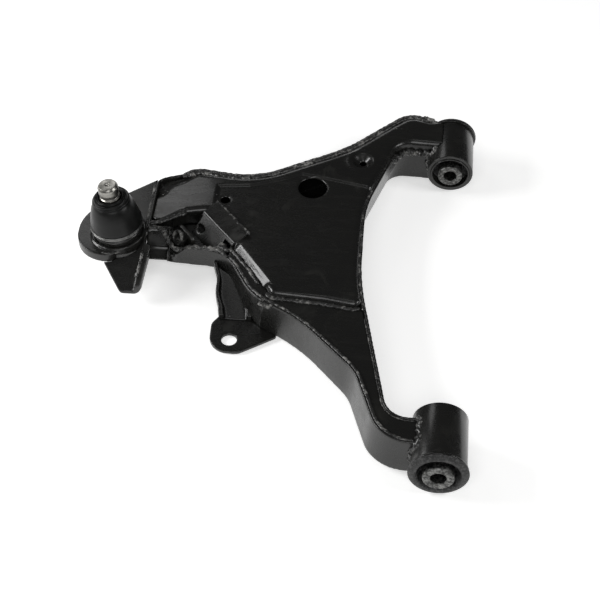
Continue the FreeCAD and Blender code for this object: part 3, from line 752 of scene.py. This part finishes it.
def bay_bead():
    """The narrow bead down the bay's edge."""
    bm = bmesh.new()
    line = at_height(stretch(arm_line, 3.4, (-62, 414), (-88, 160)), 18.6)
    line[:, 2] -= 9.0 * ease((line[:, 0] + 82) / 22) * ease((line[:, 1] - 396) / 14)
    bead_mesh(bm, line, UP, 1.5, 1.3, 2, rough=0.3)
    corner = at_height(stretch(arm_line, 1.6, (-18, 424), (-72, 405)), 10.5)
    bead_mesh(bm, corner, UP, 3.6, 3.2, 12, ripple=5.0, rough=1.0)
    add_beads("bay_bead", bm)


def web_bead():
    """The bead where the web's near edge meets the rear leg's cover plate."""
    bm = bmesh.new()
    line = at_height(stretch(web_line, 1.8, (-84, 160), (-192, 178)), LEG_TOP + 0.6)
    bead_mesh(bm, line, UP, 2.6, 2.0, 3, rough=0.4)
    add_beads("web_bead", bm, ["web_weld"])


def leg_bead():
    """The bead along the rear leg's near edge, from the eye to the pocket."""
    bm = bmesh.new()
    line = at_height(stretch(arm_line, 3.9, (-26, -13), (-238, 232)), 17.6)
    bead_mesh(bm, line, UP, 1.9, 1.7, 4, rough=0.3)
    far = at_height(stretch(arm_line, 3.9, (-86, 150), (-26, 20)), 17.4)
    bead_mesh(bm, far, UP, 0.8, 0.7, 14, rough=0.2)
    add_beads("leg_bead", bm)


def eye_bead(name, radius, start, end, node, seed):
    """The bead round the end of a leg, on its bush eye."""
    bm = bmesh.new()
    high = asin(18.0 / radius)
    low = -asin(26.0 / radius) if radius > 26.5 else -radians(72)
    bend = np.linspace(low, high, 30)
    near = [(-radius * cos(t), start, radius * sin(t)) for t in bend]
    top = [(-radius * cos(high), y, radius * sin(high)) for y in np.linspace(start, end, 20)[1:]]
    far = [(-radius * cos(t), end, radius * sin(t)) for t in bend[::-1]][1:]
    line = np.array(near + top + far)
    ups = line * np.array([1, 0, 1]) / radius
    ups[:, 1] += np.where(line[:, 1] < start + 3, -0.7, 0) + np.where(line[:, 1] > end - 3, 0.7, 0)
    bead_mesh(bm, line, ups, 3.6, 2.3, seed, ripple=3.4, rough=0.8)
    add_beads(name, bm, [node])


def carrier_bead():
    """The bead between the shells' outboard end and the ball joint's carrier plate."""
    bm = bmesh.new()
    line = np.array([(-334, y, 14.2) for y in np.linspace(257, 340, 30)])
    bead_mesh(bm, line, (-0.5, 0, 0.87), 2.6, 2.4, 7)
    add_beads("carrier_bead", bm)


def pocket_beads():
    """Beads round the shock pocket's mouth, the saddle's foot and the steering stop's fold."""
    bm = bmesh.new()
    mouth = [(-333, 265, 18.6), (-322, 266, 18.8), (-314, 262, 18.4), (-310, 256, 15.0), (-306, 250, 11.0),
             (-299, 244, 8.5), (-290, 240, 12.0), (-282, 238.5, 18.6), (-270, 238, 19.6),
             (-256, 237, 19.8), (-247, 234, 19.8), (-239, 226, 19.2)]
    bead_mesh(bm, even(mouth, 2.0), (0, -0.3, 0.95), 2.4, 2.0, 21, rough=0.7)
    slope = [(-331, 270, 19.4), (-318, 275, 19.8), (-306, 283, 19.8), (-292, 291, 19.6)]
    bead_mesh(bm, even(slope, 2.0), (0, -0.2, 0.97), 2.4, 1.8, 22, rough=0.6)
    foot = [(-238, 240, 17.6), (-228, 229, 17.8), (-214, 211, 17.8), (-201, 190, 17.8)]
    bead_mesh(bm, even(foot, 2.0), (0, -0.2, 0.97), 2.0, 1.6, 23, rough=0.5)
    clump = [(-256, 248, 11), (-249, 245, 13.5), (-243, 241, 15.5), (-238, 238, 16.5)]
    bead_mesh(bm, even(clump, 2.0), (0, -0.2, 0.97), 5.0, 3.6, 29, ripple=4.0, rough=1.0)
    fold = [(-378, 226, 13.4), (-367, 225, 13.8), (-357, 230, 14.2), (-350, 241, 14.4), (-343, 250, 15.2),
            (-334, 259, 17.2)]
    bead_mesh(bm, even(fold, 2.0), (0.1, -0.3, 0.95), 1.4, 1.3, 24, rough=0.3)
    edge = [SHOCK_PLACE @ (Vector((34.5, y, 26.5)) * MM) / MM for y in (12, 2, -10, -22, -34, -46, -53)]
    bead_mesh(bm, even(edge, 2.0), (0.2, 0.2, 0.95), 1.9, 1.7, 25, rough=0.7)
    add_beads("pocket_beads", bm)


def bracket_beads():
    """Beads where the gusset meets the near wall and along the link plate's edge."""
    bm = bmesh.new()
    side = [(-247, 232, -4), (-240, 222, -9), (-231, 210, -14), (-223, 198, -20), (-216, 188, -25.5)]
    bead_mesh(bm, even(side, 2.0), (0.3, -0.8, 0.5), 2.2, 1.8, 26, rough=0.7)
    foot = [(-244, 181, -26.0), (-236, 180.5, -26.0), (-228, 180.5, -26.0), (-219, 181, -26.0)]
    bead_mesh(bm, even(foot, 2.0), UP, 2.0, 1.7, 27, rough=0.6)
    rib = [(-336.5, 202, 2.4), (-335, 212, 7.4), (-334, 222, 12.0), (-333, 230, 15.6)]
    bead_mesh(bm, even(rib, 2.0), (-0.5, -0.3, 0.8), 2.0, 1.1, 28, rough=0.6)
    add_beads("bracket_beads", bm)


def spatter():
    """Small round drops of weld on the sheet beside the beads."""
    bm = bmesh.new()
    dice = random.Random(5)
    spots = [(-262, 306, 25, 20), (-290, 318, 25, 18), (-238, 215, 17, 9), (-200, 186, 17, 10),
             (-316, 330, 21, 14), (-250, 296, 25, 10), (-230, 240, 17, 8), (-60, 452, 25, 12)]
    for x, y, height, spread in spots:
        for _ in range(14):
            angle, away = dice.uniform(0, 2 * pi), spread * dice.random() ** 0.7
            place = Vector((x + away * cos(angle), y + away * sin(angle), 60.0)) * MM
            hit, spot, turned, _ = sheets["upper_shell"].ray_cast(place, Vector((0, 0, -1)))
            if not hit or turned.z < 0.6 or spot.z < (height - 6) * MM:
                continue
            size = dice.uniform(0.35, 0.9) * MM
            ring = [bm.verts.new(spot + Vector((size * cos(k * pi / 4), size * sin(k * pi / 4), -0.1 * MM)))
                    for k in range(8)]
            peak = bm.verts.new(spot + Vector((0, 0, size * 0.7)))
            for k in range(8):
                bm.faces.new((ring[k], ring[(k + 1) % 8], peak))
    add_beads("weld_spatter", bm)


rim_beads()
pocket_beads()
bracket_beads()
spatter()
bay_bead()
web_bead()
leg_bead()
eye_bead("rear_eye_bead", REAR_R, -13.5, 20.0, "rear_eye_weld", 5)
eye_bead("front_eye_bead", FRONT_R, 421.5, 461.0, "front_eye_weld", 6)
carrier_bead()

# ---------------------------------------------------------------- turned pieces

class Turned:
    """How turned pieces of one kind are finished: material and the body that they ride on; the slot is kept
    but not used.
    """

    def __init__(self, finish, slot, body):
        self.finish = finish
        self.slot = slot
        self.body = body

    def make(self, name, profile, place, segments, corner, nodes=()):
        """Turn one piece of this kind."""
        piece = lathe(name, profile, place, segments, corner)
        dress(piece, self.finish, self.body, nodes)


PAINTED = Turned(PAINT, "black_paint", "arm")
BONDED = Turned(RUBBER, "bush_rubber", "arm")


def weld_nut():
    """The shock bolt's weld nut, with its face turned a little upwards."""
    seat = Matrix.Translation((-0.0245, 0, 0.0125)) @ Matrix.Rotation(radians(-62), 4, "Y")
    nut = Turned(WELD, "black_paint", "arm")
    nut.make("weld_nut_look", [
        (4.0, -4), (9, -4), (9, 1.5), (8.2, 3.2), (6.4, 3.6), (5.2, 2.4), (4.4, 2.2)],
        SHOCK_PLACE @ seat, 64, 0.5, ["shock_weld_nut"])


def rear_bush():
    """The rear eye with its flanged shell, bonded rubber and inner sleeve."""
    PAINTED.make("rear_eye_look", [
        (24.4, -30.0), (REAR_R, -30.0), (REAR_R, 34.0), (24.4, 34.0)],
        REAR_PLACE, 160, 0.9, ["rear_eye"])
    PAINTED.make("rear_bush_shell_look", [
        (22.6, -32.5), (30.2, -32.5), (30.2, -30.05), (24.4, -30.05), (24.4, 35.5), (22.6, 35.5)],
        REAR_PLACE, 128, 0.7, ["rear_bush_shell"])
    BONDED.make("rear_bush_rubber_look", [
        (16.15, -20), (18.2, -19.2), (20.6, -24), (21.4, -34.5), (23.0, -36.9), (26.2, -37.1),
        (29.2, -35.6), (30.7, -34.0), (30.6, -33.2), (22.6, -32.6), (22.6, 33), (19.1, 29), (16.15, 32)],
        REAR_PLACE, 128, 1.1, ["rear_bush_rubber"])
    plated = Turned(ZINC, "zinc_sleeve", "rear_sleeve")
    plated.make("rear_sleeve_look", [
        (8.1, -39.6), (9.0, -40.5), (15.2, -40.5), (16.1, -39.4), (16.1, 39.4), (15.2, 40.5),
        (9.0, 40.5), (8.1, 39.6)],
        REAR_PLACE, 96, 0.4, ["rear_inner_sleeve"])


def front_bush():
    """The front eye and bush: smaller, and flanged on its far end."""
    PAINTED.make("front_eye_look", [
        (22.3, -31.5), (FRONT_R, -31.5), (FRONT_R, 29), (22.3, 29)],
        FRONT_PLACE, 160, 0.9, ["front_eye"])
    PAINTED.make("front_bush_shell_look", [
        (20.5, -32.5), (22.3, -32.5), (22.3, 29.05), (28.3, 29.05), (28.3, 31.5), (20.5, 31.5)],
        FRONT_PLACE, 128, 0.7, ["front_bush_shell"])
    BONDED.make("front_bush_rubber_look", [
        (13.95, -22), (16.4, -18), (20.5, -23), (20.5, 31.5), (28.8, 31.5), (28.6, 33.2), (27, 34.5),
        (20.4, 35.4), (16.4, 27), (13.95, 27)],
        FRONT_PLACE, 128, 0.9, ["front_bush_rubber"])
    plated = Turned(ZINC, "zinc_sleeve", "front_sleeve")
    plated.make("front_sleeve_look", [
        (7.3, -35.8), (8.2, -36.7), (13.0, -36.7), (13.9, -35.7), (13.9, 35.7), (13.0, 36.7),
        (8.2, 36.7), (7.3, 35.8)],
        FRONT_PLACE, 96, 0.4, ["front_inner_sleeve"])


def dust_boot():
    """The rubber bell between the seat and the tilting collar."""
    profile = [(25.6, 15.2), (28.6, 15.2), (28.6, 21.2), (28.3, 23.5), (27.5, 27.5), (26.6, 31.5),
               (25.5, 37), (24.1, 42), (22.4, 46.6), (20.6, 49.8), (18.6, 51.6), (16.5, 52.6),
               (16.5, 56), (12.4, 56), (12.4, 52), (17.4, 49.4), (20.6, 44.5), (22.6, 38),
               (24.2, 29), (24.9, 25), (25.6, 20)]
    boot = lathe("dust_boot_look", profile, None, 128, 1.4)
    boot.data.transform(BALL_PLACE)
    boot.data.materials.append(BOOT)
    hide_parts("dust_boot")
    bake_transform(boot)


def boot_rings():
    """The collar and lip rings round the stud, and the clamp round the housing."""
    collar = Turned(BOOT, "boot_rubber", "stud_tilt")
    collar.make("boot_collar", [
        (16.6, 52.0), (20.2, 51.6), (20.8, 52.8), (20.0, 54.0), (19.0, 54.2), (18.9, 55.2),
        (18.2, 56.3), (16.6, 56.3)],
        BALL_PLACE, 96, 0.35, ["boot_upper_clip"])
    collar.make("boot_lip_rings", [
        (12.6, 55.6), (12.9, 57.2), (14.0, 57.5), (14.5, 56.5), (15.2, 57.3), (16.0, 57.0),
        (16.3, 55.6)],
        BALL_PLACE, 96, 0.3)
    clamp = Turned(SPRING, "spring_steel", "arm")
    clamp.make("boot_clamp", [
        (28.5, 16.0), (29.6, 16.4), (29.6, 17.8), (29.0, 18.1), (29.6, 18.5), (29.5, 19.8),
        (28.5, 20.0)],
        BALL_PLACE, 128, 0.3, ["boot_lower_ring"])


def housing():
    """The forged cup in the carrier, with the groove that takes the boot."""
    PAINTED.make("housing_look", [
        (20.1, 8), (20.1, -18), (22, -18), (22, -23), (25, -23), (27, -21), (27, 9), (27.9, 10),
        (27.9, 12.6), (27, 13.4), (27, 15), (25.5, 15), (25.5, 19), (20.5, 19), (15.5, 8)],
        BALL_PLACE, 128, 0.8, ["ball_joint_housing"])


def ball_stud():
    """The ball, its neck, and the plain tip with a pinch-bolt groove and a centre mark."""
    profile = [(0, -16), (6, -14.8), (11.3, -11.3), (14.8, -6), (16, 0), (14.8, 6), (11.3, 11.3),
               (8.7, 13.5), (8.5, 26), (12, 44), (12, 52), (11.2, 54), (11.2, 58), (9.6, 59),
               (9.6, 63), (11.2, 64), (11.2, 71.4), (9.4, 74), (2.4, 74), (1.6, 72.8), (0, 71.4)]
    stud = lathe("stud_look", profile, BALL_PLACE, 96, 0.45, closed=False)
    dress(stud, STUD, "stud", ["ball_stud"])


weld_nut()
rear_bush()
front_bush()
dust_boot()
boot_rings()
housing()
ball_stud()

# ---------------------------------------------------------------- floor, light and camera

def floor_piece():
    """The pale floor, just under the lowest point."""
    low = cad_box[0].z - 0.0008
    bm = bmesh.new()
    bmesh.ops.create_grid(bm, x_segments=8, y_segments=8, size=9.0)
    floor = from_bmesh("studio_floor", bm, Matrix.Translation((-0.18, 0.2, low)))
    finish = Finish("studio_floor_finish", Roughness=0.9)
    finish.colour(finish.blend(finish.noise(0.6, 2), (0.93, 0.93, 0.925), (0.95, 0.95, 0.945)))
    finish.shader.inputs["Emission Color"].default_value = (1, 1, 0.995, 1)
    finish.shader.inputs["Emission Strength"].default_value = 0.5
    finish.shader.inputs["Specular IOR Level"].default_value = 0.0
    floor.data.materials.append(finish.material)


MIDDLE = (-0.18, 0.22, 0)           # the arm's middle, in metres
LAMPS = [                           # (name, place, aim, width, height, power); metres and watts
    ("key_left", (-1.5, 0.3, 0.8), MIDDLE, 0.9, 0.45, 15),
    ("back_left", (-0.85, 1.4, 1.0), (-0.28, 0.32, 0), 0.5, 0.4, 1.3),
    ("top", (-0.2, 0.2, 2.2), MIDDLE, 0.6, 0.6, 1.6),
    ("key_right", (1.3, -0.1, 1.0), MIDDLE, 0.7, 0.5, 9),
    ("front_fill", (-0.2, -1.65, 1.8), MIDDLE, 1.5, 1.0, 17),
]


def area_light(name, place, aim, width, height, power):
    """One rectangular softbox, aimed at a point."""
    light = bpy.data.lights.new(name, "AREA")
    light.shape = "RECTANGLE"
    light.size = width
    light.size_y = height
    light.energy = power
    lamp = bpy.data.objects.new(name, light)
    scene.collection.objects.link(lamp)
    lamp.location = place
    lamp.rotation_euler = (Vector(aim) - Vector(place)).to_track_quat("-Z", "Y").to_euler()


def studio_world():
    """A dark room for reflections, and a pale one behind the floor."""
    world = bpy.data.worlds.new("studio")
    scene.world = world
    world.use_nodes = True
    nodes, links = world.node_tree.nodes, world.node_tree.links
    back = nodes["Background"]
    back.inputs["Color"].default_value = (0.055, 0.055, 0.057, 1)
    pale = nodes.new("ShaderNodeBackground")
    pale.inputs["Color"].default_value = (0.95, 0.95, 0.95, 1)
    path = nodes.new("ShaderNodeLightPath")
    mix = nodes.new("ShaderNodeMixShader")
    links.new(path.outputs["Is Camera Ray"], mix.inputs[0])
    links.new(back.outputs[0], mix.inputs[1])
    links.new(pale.outputs[0], mix.inputs[2])
    links.new(mix.outputs[0], nodes["World Output"].inputs["Surface"])


def camera():
    """A long lens above and behind the rear bush."""
    data = bpy.data.cameras.new("camera")
    data.lens = 97.97
    data.sensor_width = 36
    data.clip_end = 60
    eye = bpy.data.objects.new("camera", data)
    scene.collection.objects.link(eye)
    azimuth, elevation = radians(5.08), radians(46.74)
    look = Vector((-sin(azimuth) * cos(elevation), cos(azimuth) * cos(elevation), -sin(elevation)))
    eye.location = (-0.0490, -1.0139, 1.2814)
    eye.rotation_euler = look.to_track_quat("-Z", "Y").to_euler()
    scene.camera = eye


dress_cad_nodes()
floor_piece()
studio_world()
camera()
for name, place, aim, width, height, power in LAMPS:
    area_light(name, place, aim, width, height, power)
scene.view_settings.view_transform = "Standard"
